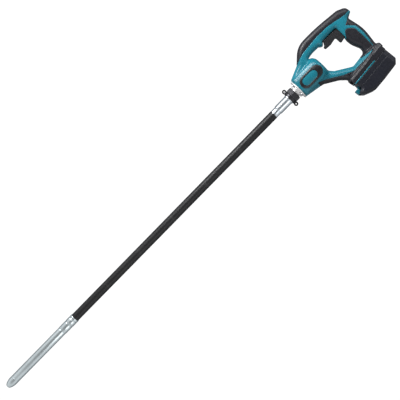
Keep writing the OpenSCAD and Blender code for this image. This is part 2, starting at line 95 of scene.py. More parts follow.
# ---------- Sizes: from the frame where it holds them, or as the CAD source has them ----------
GRIP_HALF = 19.0  # half the thickness of the loop, and the rounding of its rim
GRIP_ROUND = 14.0
FOOT_HALF = high("housing_right").y
WALL = 3.0  # wall of the housing
RUBBER_T = 1.5  # depth of the soft rubber, and how far it stands proud
RUBBER_PROUD = 0.35
FOOT_CAP_TOP = -27.0  # below this height along the foot, rubber goes right through it
FOOT_CAP_T = 25.0
BARREL_TOP = 94.4
PANEL_CURVE = 0.0115  # how quickly the barrel's side panel falls away from its middle
BADGE_X = 1.5  # middle of the badge frame
HOUSING_SCREWS = ((-54, 80), (-57, 226), (30, 208), (50, 107), (70, 134))
SCREW_WELL_R = 3.7
SCREW_WELL_Y = 14.2

TRIGGER_HALF = high("trigger").y
PIVOT = (-45.0, 141.0)
PULL_DEG = next(j["range_deg"][1] for j in frame["joints"] if j["name"] == "trigger_pull")
LOCK_AT = (-33.0, 196.0)
LOCK_WELL_R = 5.3
LOCK_WELL_Y = 12.0

LEAN = math.radians(5)  # turn of the battery and its foot
BATTERY_AT = (94.0, 154.0)  # origin of the battery's own frame
BATTERY_HALF = high("battery_case_upper").y
BATTERY_T = 47.0
BATTERY_WALL = 2.6
SEAM_U = 14.0  # where the two battery shells meet
RIM_IN = 6.0
END_W = 64.0  # where the battery's upper end starts to narrow
FOOT_GAP = 0.4
RIDGE_U = -13.2  # the first ridge on the foot

FLANGE_H = 10.0
FLANGE_SCREW_AT = 22.0
NUT_TURN = math.radians(22)
NUT_FLAT = 17.32  # from the axis to a flat of the nut
NUT_MIDDLE = -10.6
RING_MIDDLE = -22.0
EYE_X = 22.0
EYE_R = 1.8
SLEEVE_BORE_R = 13.06  # bore of the nut and the strap ring, round the sleeve
SLEEVE_BOTTOM = low("hose_sleeve").z

HOSE_R = high("hose_1").x
HOSE_INNER_R = 9.8
SPIGOT_R = 10.4  # the hose where it is held in the sleeve and the ferrule
SPIGOT_LEN = 22.0
HOSE_END = high("head_case").z + 50
HEAD_R = high("head_case").x
HEAD_BOTTOM = low("head_tip").z
TIP_TOP = low("head_case").z

# ---------- The studio, in metres ----------
FLOOR_Y = 0.5  # behind the furthest swing of the head
FLOOR_REACH = 6.0
SKY_COLOUR = (0.97, 0.985, 1.0, 1)
SKY_LIGHT = 0.35
SKY_MIRRORED = (0.14, 0.8)  # behind the camera, and everywhere else
LIGHT_CENTRE = Vector((0.02, 0, -0.36))
LIGHTS = (  # name, place from the centre, size, power
    ("key", (-1.8, -1.2, 0.35), 0.8, 46), ("side", (1.3, -1.6, -0.5), 1.2, 7),
    ("top", (-0.7, -1.0, 1.5), 0.9, 10), ("back", (-0.6, 1.8, 0.9), 1.4, 16))
CAMERA_TURN, CAMERA_RISE, CAMERA_ROLL = (math.radians(v) for v in (2.0, 5.65, 44.44))
CAMERA_TARGET = Vector((0.0185, 0, -0.3557))
CAMERA_DISTANCE = 2.202
CAMERA_LENS = 74.95


# ---------- Outlines ----------
def rounded(corners, pieces=13):
    """Points of an outline whose corners [x, z, r] are rounded with arcs of radius r."""
    points = []
    for i, (x, z, r) in enumerate(corners):
        here = np.array([x, z], float)
        if r == 0:
            points.append(here)
            continue
        before = np.array(corners[i - 1][:2]) - here
        after = np.array(corners[(i + 1) % len(corners)][:2]) - here
        before, after = before / np.linalg.norm(before), after / np.linalg.norm(after)
        half = math.acos(float(np.clip(before @ after, -1, 1))) / 2
        middle = before + after
        centre = here + middle / np.linalg.norm(middle) * r / math.sin(half)
        start = here + before * r / math.tan(half) - centre
        end = here + after * r / math.tan(half) - centre
        turn = math.pi - 2 * half
        for t in np.linspace(0, 1, pieces):
            spin = start * math.sin((1 - t) * turn) + end * math.sin(t * turn)
            points.append(centre + spin / math.sin(turn))
    return np.array(points)


# Handle outlines are (x, z) points; those of the foot and the battery are in the battery's own frame.
FRAME_OUTLINE = rounded([
    (-30.5, 12, 0), (-46, 48.3, 12), (-79, 83.5, 55), (-80, 142, 500), (-71.5, 218, 25),
    (-61.5, 238.6, 14), (-44.5, 242.4, 5), (-36.5, 225, 5), (9.5, 234.5, 120), (56, 227.8, 20),
    (70, 230, 0), (80, 114, 0), (73, 112.5, 8), (59, 98.5, 25), (37, 63, 8), (25, 12, 0)])
OPENING_OUTLINE = rounded([
    (-40.5, 183, 3), (-40.5, 138, 1), (-32.5, 130.5, 2), (-35, 125.5, 3), (-39.3, 121, 3),
    (-40, 100, 25), (-37, 81, 5), (-26, 81, 5), (-17, 94.4, 10), (20, 94.4, 18),
    (33, 105.5, 15), (59.5, 147, 14), (54, 192, 10), (40, 193.5, 18), (14, 183, 60)])
TRIGGER_OUTLINE = rounded([
    (-42, 188, 4), (-9, 188, 1), (-5.5, 172, 3), (-8, 169, 2), (-25, 168.5, 3),
    (-21, 148, 5), (-22.5, 131, 3), (-29, 129.5, 2), (-31.5, 134.5, 1), (-42, 141, 0)])
FOOT_OUTLINE = rounded([
    (-26, 76, 0), (-22, 79.8, 1), (-11, 78.4, 1), (-11, 76, 0), (8, 76, 0),
    (8, -37.5, 0), (-20, -37.5, 3), (-30.5, -5, 20), (-32, 50, 30)])
BATTERY_OUTLINE = rounded([
    (-8, -36, 0), (17, -36, 1), (20, -46, 1), (24, -49.3, 3), (35.5, -39.5, 12),
    (BATTERY_T, -17, 10), (BATTERY_T, 20, 60), (BATTERY_T - 2, 63.5, 6), (34, 75.7, 5),
    (-8, 75.7, 0)])
FRONT_RUBBER = rounded([
    (-46, 48, 0), (-56, 78, 30), (-60.5, 130, 60), (-59, 172, 60), (-48.5, 222, 10),
    (-49.5, 250, 0), (-90, 250, 0), (-90, 48, 0)])
SIDE_RUBBER = rounded([
    (-21, 197, 4), (-18, 206, 8), (-6, 217, 10), (15, 218.2, 30), (66, 217.4, 0),
    (60, 176, 0), (-2, 176, 0), (-3, 185, 5), (-12, 190, 5)])
TOP_RUBBER = rounded([
    (-41, 229, 0), (-28, 206, 1), (-10, 223.3, 10), (12, 226.4, 40), (56, 222.6, 0),
    (56, 250, 0), (-41, 250, 0)])
ARM_RUBBER = rounded([
    (25, 54, 0), (33, 73, 8), (58, 112, 30), (67, 133, 0), (90, 133, 0), (90, 105, 0),
    (45, 54, 0)])
FOOT_RUBBER = rounded([
    (-34, -50, 0), (-4.2, -50, 0), (-4.2, 37, 1), (2, 37, 0), (2, 90, 0), (-44, 90, 0),
    (-44, 71, 0), (-29, 67, 4), (-24, 60, 10), (-21.7, 39, 40), (-24.2, 13, 40),
    (-25.5, -11, 8), (-28.8, -19, 4), (-34, -27, 0)])
BARREL_PANEL = rounded([(-26.3, 12.5, 2), (26.3, 12.5, 2), (26.3, 89.5, 20), (-26.3, 89.5, 20)])


# ---------- Distance fields ----------
def outline_distance(points, x, z):
    """Signed distance to a closed outline, negative inside."""
    nearest = np.full(np.broadcast(x, z).shape, np.inf)
    inside = np.zeros(nearest.shape, bool)
    for (ax, az), (bx, bz) in zip(points, np.roll(points, -1, 0)):
        ex, ez = bx - ax, bz - az
        length = ex * ex + ez * ez
        if length < 1e-12:
            continue
        t = np.clip(((x - ax) * ex + (z - az) * ez) / length, 0, 1)
        nearest = np.minimum(nearest, (x - ax - t * ex) ** 2 + (z - az - t * ez) ** 2)
        if az != bz:
            inside ^= ((az <= z) != (bz <= z)) & (x < ax + (z - az) / (bz - az) * ex)
    return np.where(inside, -1, 1) * np.sqrt(nearest)


def union(a, b, k):
    """Both shapes, with a fillet of about k between them."""
    h = np.clip(0.5 + 0.5 * (b - a) / k, 0, 1)
    return b + (a - b) * h - k * h * (1 - h)


def both(a, b, k):
    """Where the shapes overlap, with the new edge rounded by about k."""
    return -union(-a, -b, k)


def cut(a, b, k):
    """Shape a less shape b, with the new edge rounded by about k."""
    return -union(-a, b, k)


def rounded_plate(outline, y, half, r):
    """An outline made 2 * half thick, with its rim rounded by r."""
    across, deep = outline + r, np.abs(y) - half + r
    return (np.sqrt(np.maximum(across, 0) ** 2 + np.maximum(deep, 0) ** 2)
            + np.minimum(np.maximum(across, deep), 0) - r)


def box_field(parts, centre, size, r=0.0):
    """A box of the given full size round a centre, with rounded edges."""
    q = [np.abs(p - c) - s / 2 + r for p, c, s in zip(parts, centre, size)]
    outside = np.sqrt(sum(np.maximum(v, 0) ** 2 for v in q))
    return outside + np.minimum(np.maximum(np.maximum(q[0], q[1]), q[2]), 0) - r


class Grid:
    """A box of sample points, open for broadcasting."""

    def __init__(self, lows, highs, step):
        self.axes = [np.arange(a - step / 2, b + step, step) for a, b in zip(lows, highs)]
        self.x, self.y, self.z = np.meshgrid(*self.axes, indexing="ij", sparse=True)

    def in_battery(self):
        """The same points in the battery's frame: u away from the foot, w up along it."""
        c, s = math.cos(LEAN), math.sin(LEAN)
        dx, dz = self.x - BATTERY_AT[0], self.z - BATTERY_AT[1]
        return dx * c + dz * s, dz * c - dx * s

    def placed(self, points):
        """Points of this grid in the tool's own frame."""
        return points


class BatteryGrid(Grid):
    """Sample points lined up with the leaning battery."""

    def in_battery(self):
        """This grid's own axes are the battery's."""
        return self.x, self.z

    def placed(self, points):
        """Points of this grid in the tool's own frame."""
        c, s = math.cos(LEAN), math.sin(LEAN)
        u, y, w = points.T
        return np.stack([BATTERY_AT[0] + u * c - w * s, y, BATTERY_AT[1] + w * c + u * s], 1)


def surface_net(field, axes):
    """Points and quads round the zero level of a field sampled on a grid."""
    shape = np.array(field.shape) - 1
    size = int(shape.prod())
    count, total, crossings = np.zeros(size), np.zeros((3, size)), []
    for axis in range(3):
        first, second = [slice(None)] * 3, [slice(None)] * 3
        first[axis], second[axis] = slice(0, -1), slice(1, None)
        a, b = field[tuple(first)], field[tuple(second)]
        at = np.argwhere((a < 0) != (b < 0))
        fa, fb = a[tuple(at.T)], b[tuple(at.T)]
        point = np.stack([axes[k][at[:, k]] for k in range(3)], 1)
        point[:, axis] += fa / (fa - fb) * (axes[axis][at[:, axis] + 1] - point[:, axis])
        u, v = (axis + 1) % 3, (axis + 2) % 3
        around = []
        for du, dv in ((-1, -1), (0, -1), (0, 0), (-1, 0)):
            cell = at.copy()
            cell[:, u] += du
            cell[:, v] += dv
            ok = ((cell >= 0) & (cell < shape)).all(1)
            index = np.where(ok, np.ravel_multi_index(np.clip(cell, 0, shape - 1).T, shape), -1)
            around.append(index)
            count += np.bincount(index[ok], minlength=size)
            for k in range(3):
                total[k] += np.bincount(index[ok], point[ok, k], minlength=size)
        crossings.append((np.stack(around, 1), fa < 0))
    used = count > 0
    number = np.cumsum(used) - 1
    quads = []
    for around, outward in crossings:
        whole = (around >= 0).all(1)
        quad = number[around[whole]]
        quads.append(np.where(outward[whole][:, None], quad, quad[:, ::-1]))
    return (total[:, used] / count[used]).T, np.concatenate(quads)


def relax(points, quads, rounds=2):
    """Takes the grid's small steps out of a net without shrinking it."""
    ends = np.concatenate([quads[:, [i, (i + 1) % 4]] for i in range(4)])
    a, b = ends.T
    n = np.maximum(np.bincount(a, minlength=len(points)), 1)[:, None]
    for step in (0.5, -0.52) * rounds:
        mean = np.stack([np.bincount(a, points[b, k], len(points)) for k in range(3)], 1) / n
        points = points + step * (mean - points)
    return points


# ---------- Pieces ----------
def new_object(name, points, faces):
    """A smooth-shaded mesh object from points in this script's millimetres.

    The faces are one array when they are all quads, or a list of tuples."""
    mesh = bpy.data.meshes.new(name)
    placed = (np.asarray(points, float) + [0, 0, NOSE_Z]) * MM
    if isinstance(faces, list):
        sizes, corners = np.array([len(f) for f in faces]), np.concatenate(faces)
    else:
        sizes, corners = np.full(len(faces), faces.shape[1]), faces.ravel()
    mesh.vertices.add(len(placed))
    mesh.vertices.foreach_set("co", placed.astype(np.float32).ravel())
    mesh.loops.add(len(corners))
    mesh.loops.foreach_set("vertex_index", corners.astype(np.int32))
    mesh.polygons.add(len(sizes))
    mesh.polygons.foreach_set("loop_start", (np.cumsum(sizes) - sizes).astype(np.int32))
    mesh.polygons.foreach_set("use_smooth", np.ones(len(sizes), bool))
    mesh.update(calc_edges=True)
    mesh.validate()
    obj = bpy.data.objects.new(name, mesh)
    bpy.context.scene.collection.objects.link(obj)
    return obj


def net_object(name, field, grid, mirrored=False, rounds=2):
    """An object from a field; mirrored turns a right-hand piece into its left-hand twin."""
    points, quads = surface_net(np.ascontiguousarray(field), grid.axes)
    points = grid.placed(relax(points, quads, rounds))
    if mirrored:
        points = points * [1, -1, 1]
        quads = quads[:, ::-1]
    return new_object(name, points, quads)


def sharpen(obj, degrees=32):
    """Keeps edges sharper than this angle crisp under smooth shading."""
    obj.data.set_sharp_from_angle(angle=math.radians(degrees))
    return obj


def lathe(name, profile, around=96):
    """A closed turned piece from a half profile of (radius, height) points."""
    profile = np.asarray(profile, float)
    turn = np.linspace(0, 2 * math.pi, around, endpoint=False)
    points = np.concatenate([
        np.stack([r * np.cos(turn), r * np.sin(turn), np.full(around, z)], 1)
        for r, z in profile])
    rings = len(profile)
    ring, side = np.meshgrid(np.arange(rings), np.arange(around), indexing="ij")
    next_ring, next_side = (ring + 1) % rings, (side + 1) % around
    quads = np.stack([ring * around + side, next_ring * around + side,
                      next_ring * around + next_side, ring * around + next_side], -1)
    return sharpen(new_object(name, points, quads.reshape(-1, 4)))


def chamfered(profile, size=0.5):
    """A lathe profile with each of its corners cut back by up to size."""
    profile = np.asarray(profile, float)
    points = []
    for before, here, after in zip(np.roll(profile, 1, 0), profile, np.roll(profile, -1, 0)):
        for other in (before, after):
            run = other - here
            reach = np.linalg.norm(run)
            points.append(here + run / reach * min(size, reach * 0.4))
    return points


def lathe_solid(name, profile, around=96):
    """A turned solid from a half profile that starts and ends on the axis."""
    profile = np.asarray(profile, float)
    turn = np.linspace(0, 2 * math.pi, around, endpoint=False)
    rings = profile[1:-1]
    points = [np.stack([r * np.cos(turn), r * np.sin(turn), np.full(around, z)], 1)
              for r, z in rings]
    points = np.concatenate(points + [[[0, 0, profile[0][1]]], [[0, 0, profile[-1][1]]]])
    side = np.arange(around)
    beside = (side + 1) % around
    faces = [np.stack([side + k * around, side + (k + 1) * around,
                       beside + (k + 1) * around, beside + k * around], 1)
             for k in range(len(rings) - 1)]
    last = (len(rings) - 1) * around
    first_pole, last_pole = len(points) - 2, len(points) - 1
    quads = [tuple(f) for part in faces for f in part]
    quads += [(first_pole, a, b) for a, b in zip(side, beside)]
    quads += [(last_pole, last + b, last + a) for a, b in zip(side, beside)]
    return sharpen(new_object(name, points, quads))


# ---------- Materials ----------
def material(name):
    """An empty node material and its node adder, linker and main shader."""
    made = bpy.data.materials.new(name)
    made.use_nodes = True
    tree = made.node_tree
    shader = tree.nodes["Principled BSDF"]

    def add(kind, **values):
        node = tree.nodes.new(kind)
        for key, value in values.items():
            if key in node.inputs:
                node.inputs[key].default_value = value
            else:
                setattr(node, key, value)
        return node

    return made, add, tree.links.new, shader


def noise_of(add, link, place, scale, detail=3.0, stretch=(1, 1, 1)):
    """Noise in object space; stretch makes it streaky along the axes with small numbers."""
    mapped = add("ShaderNodeMapping")
    mapped.inputs["Scale"].default_value = stretch
    link(place.outputs["Object"], mapped.inputs["Vector"])
    noise = add("ShaderNodeTexNoise", Scale=scale, Detail=detail)
    link(mapped.outputs["Vector"], noise.inputs["Vector"])
    return noise.outputs["Fac"]


def remap(add, link, value, low_in, high_in, low_out, high_out):
    """Maps a value from one range onto another, held at the ends."""
    node = add("ShaderNodeMapRange")
    for key, number in zip(("From Min", "From Max", "To Min", "To Max"),
                           (low_in, high_in, low_out, high_out)):
        node.inputs[key].default_value = number
    link(value, node.inputs["Value"])
    return node.outputs["Result"]


def tinted(add, link, value, first, second):
    """A colour between two others."""
    mix = add("ShaderNodeMix", data_type="RGBA")
    mix.inputs["A"].default_value = (*first, 1)
    mix.inputs["B"].default_value = (*second, 1)
    link(value, mix.inputs["Factor"])
    return mix


def worn_highlit_surface(name, colour, rough, metal=0.0, specular=0.5, bump=0.04, grain=1400.0,
                 vary=0.12, edge_wear_and_highlight=0.35, edge_wear_and_highlight_colour=None, stretch=(1, 1, 1), coat=0.0):
    """A surface with slow colour variation, uneven roughness, fine bumps, and lighter edges that are
    partly wear and partly painted highlight.
    """
    made, add, link, shader = material(name)
    place = add("ShaderNodeTexCoord")
    colour = np.array(colour)
    slow = noise_of(add, link, place, 28.0, 4.0)
    cloud = tinted(add, link, remap(add, link, slow, 0.35, 0.65, 0, 1),
                   colour * (1 - vary), np.minimum(colour * (1 + vary), 1))
    fine = noise_of(add, link, place, grain, 2.0, stretch)
    patch = noise_of(add, link, place, 160.0, 5.0)

    # Convex edges found by pointiness are lightened: partly edge wear, partly a painted highlight along
    # the edges.
    edge = add("ShaderNodeNewGeometry").outputs["Pointiness"]
    wear_and_highlight_mask = add("ShaderNodeMath", operation="MULTIPLY")
    link(remap(add, link, edge, 0.52, 0.60, 0, edge_wear_and_highlight), wear_and_highlight_mask.inputs[0])
    link(remap(add, link, patch, 0.35, 0.6, 0.3, 1), wear_and_highlight_mask.inputs[1])
    light = edge_wear_and_highlight_colour if edge_wear_and_highlight_colour is not None else np.minimum(colour * 1.6 + 0.02, 1)
    topped = add("ShaderNodeMix", data_type="RGBA")
    topped.inputs["B"].default_value = (*light, 1)
    link(cloud.outputs["Result"], topped.inputs["A"])
    link(wear_and_highlight_mask.outputs["Value"], topped.inputs["Factor"])
    link(topped.outputs["Result"], shader.inputs["Base Color"])

    both_rough = add("ShaderNodeMath", operation="ADD")
    link(remap(add, link, patch, 0.3, 0.7, rough - 0.06, rough + 0.06), both_rough.inputs[0])
    link(remap(add, link, fine, 0.3, 0.7, -0.03, 0.03), both_rough.inputs[1])
    link(both_rough.outputs["Value"], shader.inputs["Roughness"])

    bumps = add("ShaderNodeBump", Strength=min(1.0, bump * 8), Distance=bump * MM)
    link(fine, bumps.inputs["Height"])
    link(bumps.outputs["Normal"], shader.inputs["Normal"])
    shader.inputs["Metallic"].default_value = metal
    shader.inputs["Specular IOR Level"].default_value = specular
    shader.inputs["Coat Weight"].default_value = coat
    shader.inputs["Coat Roughness"].default_value = 0.2
    return made


def turned(name, colour, rough, bump=0.03, metal=1.0):
    """Turned or ground metal: fine rings round the tool axis, with near-white edges that are partly wear
    and partly painted highlight.
    """
    return worn_highlit_surface(name, colour, rough, metal=metal, bump=bump, grain=900.0, vary=0.05,
                        edge_wear_and_highlight=0.25, edge_wear_and_highlight_colour=(0.9, 0.91, 0.92), stretch=(0.04, 0.04, 3.0))


SLOTS = {
    # The teal's lighter edge colour paints edge highlights as well as wear.
    "teal_plastic": worn_highlit_surface("teal_plastic", (0.010, 0.185, 0.25), 0.3, specular=0.3,
                                 bump=0.02, coat=0.08, edge_wear_and_highlight_colour=(0.08, 0.48, 0.56)),
    # Strong edge lightening paints highlight lines along the rubber's ridges and beads, besides wear.
    "grip_rubber": worn_highlit_surface("grip_rubber", (0.0085, 0.0085, 0.013), 0.42, specular=0.42,
                                bump=0.05, edge_wear_and_highlight=0.9, edge_wear_and_highlight_colour=(0.10, 0.10, 0.12)),
    "badge_plastic": worn_highlit_surface("badge_plastic", (0.010, 0.010, 0.012), 0.32, bump=0.015),
    "black_plastic": worn_highlit_surface("black_plastic", (0.010, 0.010, 0.012), 0.42, bump=0.03),
    # The lighter edges paint the highlight line along the case's chamfers as well as wear.
    "battery_plastic": worn_highlit_surface("battery_plastic", (0.0085, 0.0095, 0.0165), 0.42, specular=0.36,
                                    bump=0.035, edge_wear_and_highlight=0.25, edge_wear_and_highlight_colour=(0.05, 0.055, 0.065)),
    "cast_alloy": worn_highlit_surface("cast_alloy", (0.80, 0.79, 0.79), 0.34, metal=0.35, bump=0.03,
                               vary=0.06, edge_wear_and_highlight_colour=(0.9, 0.9, 0.9)),
    "dark_steel": worn_highlit_surface("dark_steel", (0.045, 0.045, 0.05), 0.36, metal=0.8, bump=0.03,
                               edge_wear_and_highlight=0.4, edge_wear_and_highlight_colour=(0.16, 0.16, 0.17)),
    "bright_steel": turned("bright_steel", (0.68, 0.73, 0.77), 0.26, 0.012),
    "head_steel": turned("head_steel", (0.66, 0.73, 0.75), 0.24, metal=0.85),
    "screw_steel": worn_highlit_surface("screw_steel", (0.32, 0.32, 0.34), 0.32, metal=1.0, bump=0.03),
    "motor_steel": worn_highlit_surface("motor_steel", (0.25, 0.26, 0.28), 0.4, metal=1.0, bump=0.05),
    "magnet": worn_highlit_surface("magnet", (0.03, 0.03, 0.033), 0.6, bump=0.06),
    "copper": worn_highlit_surface("copper", (0.6, 0.24, 0.1), 0.3, metal=1.0, bump=0.08, grain=700.0),
    "brass": worn_highlit_surface("brass", (0.62, 0.44, 0.15), 0.3, metal=1.0, bump=0.03),
    "carbon": worn_highlit_surface("carbon", (0.012, 0.012, 0.012), 0.55, bump=0.06),
    "hose_rubber": worn_highlit_surface("hose_rubber", (0.010, 0.010, 0.011), 0.46, specular=0.36,
                                bump=0.06, grain=800.0, stretch=(1, 1, 0.25),
                                edge_wear_and_highlight_colour=(0.06, 0.06, 0.06)),
    "core_steel": turned("core_steel", (0.35, 0.35, 0.37), 0.35, 0.2),
    "cell_wrap": worn_highlit_surface("cell_wrap", (0.03, 0.2, 0.12), 0.3, bump=0.02),
    "board": worn_highlit_surface("board", (0.01, 0.08, 0.03), 0.35, bump=0.05),
    "wire_cover": worn_highlit_surface("wire_cover", (0.35, 0.015, 0.012), 0.35, bump=0.02),
    "seal_rubber": worn_highlit_surface("seal_rubber", (0.01, 0.01, 0.01), 0.55, bump=0.04),
}


def dress_cad_nodes():
    """Gives every CAD node the material of its slot in the record."""
    for part in frame["record"]["subparts"]:
        mesh = frame["nodes"][part["node"]].data
        mesh.materials.clear()
        mesh.materials.append(SLOTS[part["material_slot"]])


def piece(obj, body, slot, *nodes):
    """Finishes a new piece: material, the CAD nodes it stands for, and the body it rides on, if any."""
    obj.data.materials.append(SLOTS[slot])
    if body:
        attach(obj, body)
    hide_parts(*nodes)
    return obj


# ---------- Handle ----------
def stadium(x, z, centre, width, z0, z1):
    """A stadium outline from z0 to z1 round a centre line at x = centre."""
    r = width / 2
    return np.sqrt((x - centre) ** 2 + (z - np.clip(z, z0 + r, z1 - r)) ** 2) - r


def barrel_field(grid):
    """The round motor barrel, with a flatter raised panel on each side."""
    half = [(27.5, 10), (31, 30), (35, 58), (35, 84), (32, 90), (25, BARREL_TOP)]
    outline = np.array(half + [(-r, z) for r, z in half[::-1]], float)
    barrel = outline_distance(outline, np.hypot(grid.x, grid.y), grid.z + 0 * grid.x)
    reach = np.interp(grid.z, (10, 30, 58, 100), (27.7, 31.2, 35.2, 35.2))
    face = 0.9 * (np.abs(grid.y) - reach + PANEL_CURVE * grid.x ** 2)
    return union(barrel, both(face, outline_distance(BARREL_PANEL, grid.x, grid.z), 2.5), 0.8)


def foot_field(grid):
    """The battery foot: full width at the battery, narrower towards the hand."""
    u, w = grid.in_battery()
    across = np.abs(grid.y)
    plate = rounded_plate(outline_distance(FOOT_OUTLINE, u, w), grid.y, FOOT_HALF, 3.5)
    plate = both(plate, u + FOOT_GAP, 0.6)
    slope = (19 * (across - 23) - 15.5 * (u + 33)) / math.hypot(19, 15.5)
    foot = both(plate, slope, 1.5)
    ridge = u - RIDGE_U + 0.0026 * np.maximum(w - 2, 0) ** 2
    for at, tall in ((0, 0.8), (-5.2, 0.5)):
        bead = np.maximum(foot - tall, np.abs(ridge - at) - 1.1)
        foot = union(foot, np.maximum(bead, np.abs(w - 16) - 54), 1.0)
    return foot


def handle_field(grid):
    """The whole outside of the handle: loop, barrel and foot in one."""
    frame_2d = outline_distance(FRAME_OUTLINE, grid.x, grid.z)
    hole_2d = outline_distance(OPENING_OUTLINE, grid.x, grid.z)
    loop = rounded_plate(both(frame_2d, -hole_2d, 2), grid.y, GRIP_HALF, GRIP_ROUND)
    return union(union(loop, barrel_field(grid), 3), foot_field(grid), 4)


def channel_field(grid):
    """The space in the foot where the battery rail slides, with its latch pocket and terminal well."""
    u, w = grid.in_battery()
    parts = (u, grid.y, w)
    field = box_field(parts, (-11.3, 0, 8.1), (7.4, 56.8, 136.2))
    for centre, size in (((-3, 0, 8.1), (10, 48.8, 136.2)),
                         ((-16.3, 0, -40.5), (4.6, 13.2, 39)), ((-17, 0, 61), (14, 24.4, 22.4))):
        field = np.minimum(field, box_field(parts, centre, size))
    return field


def rubber_zone(grid):
    """Where the handle is covered with soft rubber, seen from the side."""
    u, w = grid.in_battery()
    zone = outline_distance(FOOT_RUBBER, u, w)
    for outline in (FRONT_RUBBER, SIDE_RUBBER, TOP_RUBBER, ARM_RUBBER):
        zone = np.minimum(zone, outline_distance(outline, grid.x, grid.z))
    return zone


def turned_trigger(grid, degrees, grow):
    """The trigger's side outline after it has been pulled by some degrees."""
    c, s = math.cos(math.radians(degrees)), math.sin(math.radians(degrees))
    dx, dz = grid.x - PIVOT[0], grid.z - PIVOT[1]
    x, z = PIVOT[0] + dx * c + dz * s, PIVOT[1] + dz * c - dx * s
    outline = outline_distance(TRIGGER_OUTLINE, x, z)
    return np.minimum(outline, np.hypot(dx, dz) - 5.5) - grow


def trigger_space(grid):
    """The slot the trigger swings in."""
    swept = np.minimum(np.minimum(turned_trigger(grid, 0, 1.0),
                                  turned_trigger(grid, PULL_DEG / 2, 1.0)),
                       turned_trigger(grid, PULL_DEG, 1.0))
    return np.maximum(swept, np.abs(grid.y) - TRIGGER_HALF - 0.6)


def bored(field, grid, x, z, r, y0):
    """Cuts a round hole across the handle from y0 outwards."""
    hole = np.maximum(np.hypot(grid.x - x, grid.z - z) - r, y0 - grid.y)
    return cut(field, hole, 0.5)


def handle_pieces():
    """Both housing halves and both grip rubbers."""
    grid = Grid((-80, 0, 8.5), (99, 40, 246), 1.0)
    handle = handle_field(grid)
    zone = rubber_zone(grid)
    u, w = grid.in_battery()
    walls = box_field((u, grid.y, w), (-9.1, 0, 19.5), (18.2, 68.6, 121))
    cavity = np.maximum(handle + WALL, -walls)
    depth = np.where(w < FOOT_CAP_TOP, FOOT_CAP_T, RUBBER_T)
    recess = np.maximum(zone - 0.2, -(handle + depth))
    boss_hole = np.maximum(np.hypot(grid.x, grid.y) - 16.2, grid.z - 18)
    spaces = np.minimum(np.minimum(channel_field(grid), trigger_space(grid)), boss_hole)

    shell = np.maximum(handle, -cavity)
    shell = cut(cut(shell, recess, 0.3), spaces, 0.6)
    shell = both(shell, 0.06 - grid.y, 0.4)
    rubber = both(both(handle - RUBBER_PROUD, zone, 1.2), -(handle + depth), 0.3)
    rubber = both(cut(rubber, spaces, 0.6), 0.06 - grid.y, 0.4)

    piece(net_object("housing_left", shell, grid, True), "housing", "teal_plastic",
          "housing_left")
    piece(net_object("grip_rubber_left", rubber, grid, True), "housing", "grip_rubber",
          "grip_rubber_left")
    wells = [(x, z, SCREW_WELL_R, SCREW_WELL_Y) for x, z in HOUSING_SCREWS]
    for well in wells + [(*LOCK_AT, LOCK_WELL_R, LOCK_WELL_Y)]:
        shell, rubber = bored(shell, grid, *well), bored(rubber, grid, *well)
    piece(net_object("housing_right", shell, grid), "housing", "teal_plastic", "housing_right")
    piece(net_object("grip_rubber_right", rubber, grid), "housing", "grip_rubber",
          "grip_rubber_right")


def badge_bezels():
    """The two raised black frames on the barrel."""
    grid = Grid((-18, 14, 14), (21, 38, 90), 0.7)
    handle = handle_field(grid)
    ring = both(stadium(grid.x, grid.z, BADGE_X, 34, 17, 87),
                -stadium(grid.x, grid.z, BADGE_X, 22, 25, 70), 1.5)
    field = both(both(handle - 1.4, ring, 1.6), -(handle + 0.4), 0.3)
    points, quads = surface_net(field, grid.axes)
    points = relax(points, quads)
    both_sides = np.concatenate([points, points * [1, -1, 1]])
    faces = np.concatenate([quads, quads[:, ::-1] + len(points)])
    piece(new_object("badge_bezels", both_sides, faces), "housing", "badge_plastic",
          "badge_bezels")


def trigger_piece():
    """The finger trigger on its pivot."""
    grid = Grid((-53, -12, 127), (-4, 12, 190), 0.7)
    field = rounded_plate(turned_trigger(grid, 0, 0), grid.y, TRIGGER_HALF, 3)
    pin = np.hypot(grid.x - PIVOT[0], grid.z - PIVOT[1]) - 1.9
    piece(net_object("trigger_lever", cut(field, pin, 0.5), grid), "trigger_lever",
          "black_plastic", "trigger")


def lock_piece():
    """The lock-on button, a domed disc on a wider base."""
    grid = Grid((-41, 12, 188), (-25, 23, 204), 0.35)
    rho = np.hypot(grid.x - LOCK_AT[0], grid.z - LOCK_AT[1])
    cap = np.hypot(np.maximum(rho - 3.8, 0), np.maximum(np.abs(grid.y - 17.6) - 2.0, 0)) - 1.2
    dish = 13.0 - np.sqrt(rho ** 2 + (grid.y - 33.2) ** 2)
    base = np.maximum(rho - 6.3, np.abs(grid.y - 15.0) - 0.6)
    piece(net_object("lock_on_button", union(both(cap, dish, 0.3), base, 0.3), grid), "lock",
          "black_plastic", "lock_button")


# ---------- Battery ----------
def battery_body(u, y, w):
    """The outside of the battery case before it is split."""
    outline = outline_distance(BATTERY_OUTLINE, u, w)
    plate = rounded_plate(outline, y, BATTERY_HALF, 2.5)
    rim = (np.abs(y) + 0.9 * (outline + RIM_IN) - BATTERY_HALF) / math.hypot(1, 0.9)
    end = (np.abs(y) + 0.5 * (w - END_W) - BATTERY_HALF) / math.hypot(1, 0.5)
    return both(both(both(plate, rim, 0.8), end, 0.8), -u, 0.6)


def button_space(parts):
    """The slot in the battery case for the release button."""
    return np.minimum(np.minimum(box_field(parts, (2, 0, -27.5), (34, 12.6, 7.8)),
                                 box_field(parts, (12.3, 0, -33.8), (13.4, 12.6, 20.4))),
                      box_field(parts, (19.05, 0, -49.1), (17.9, 26.8, 21.8)))


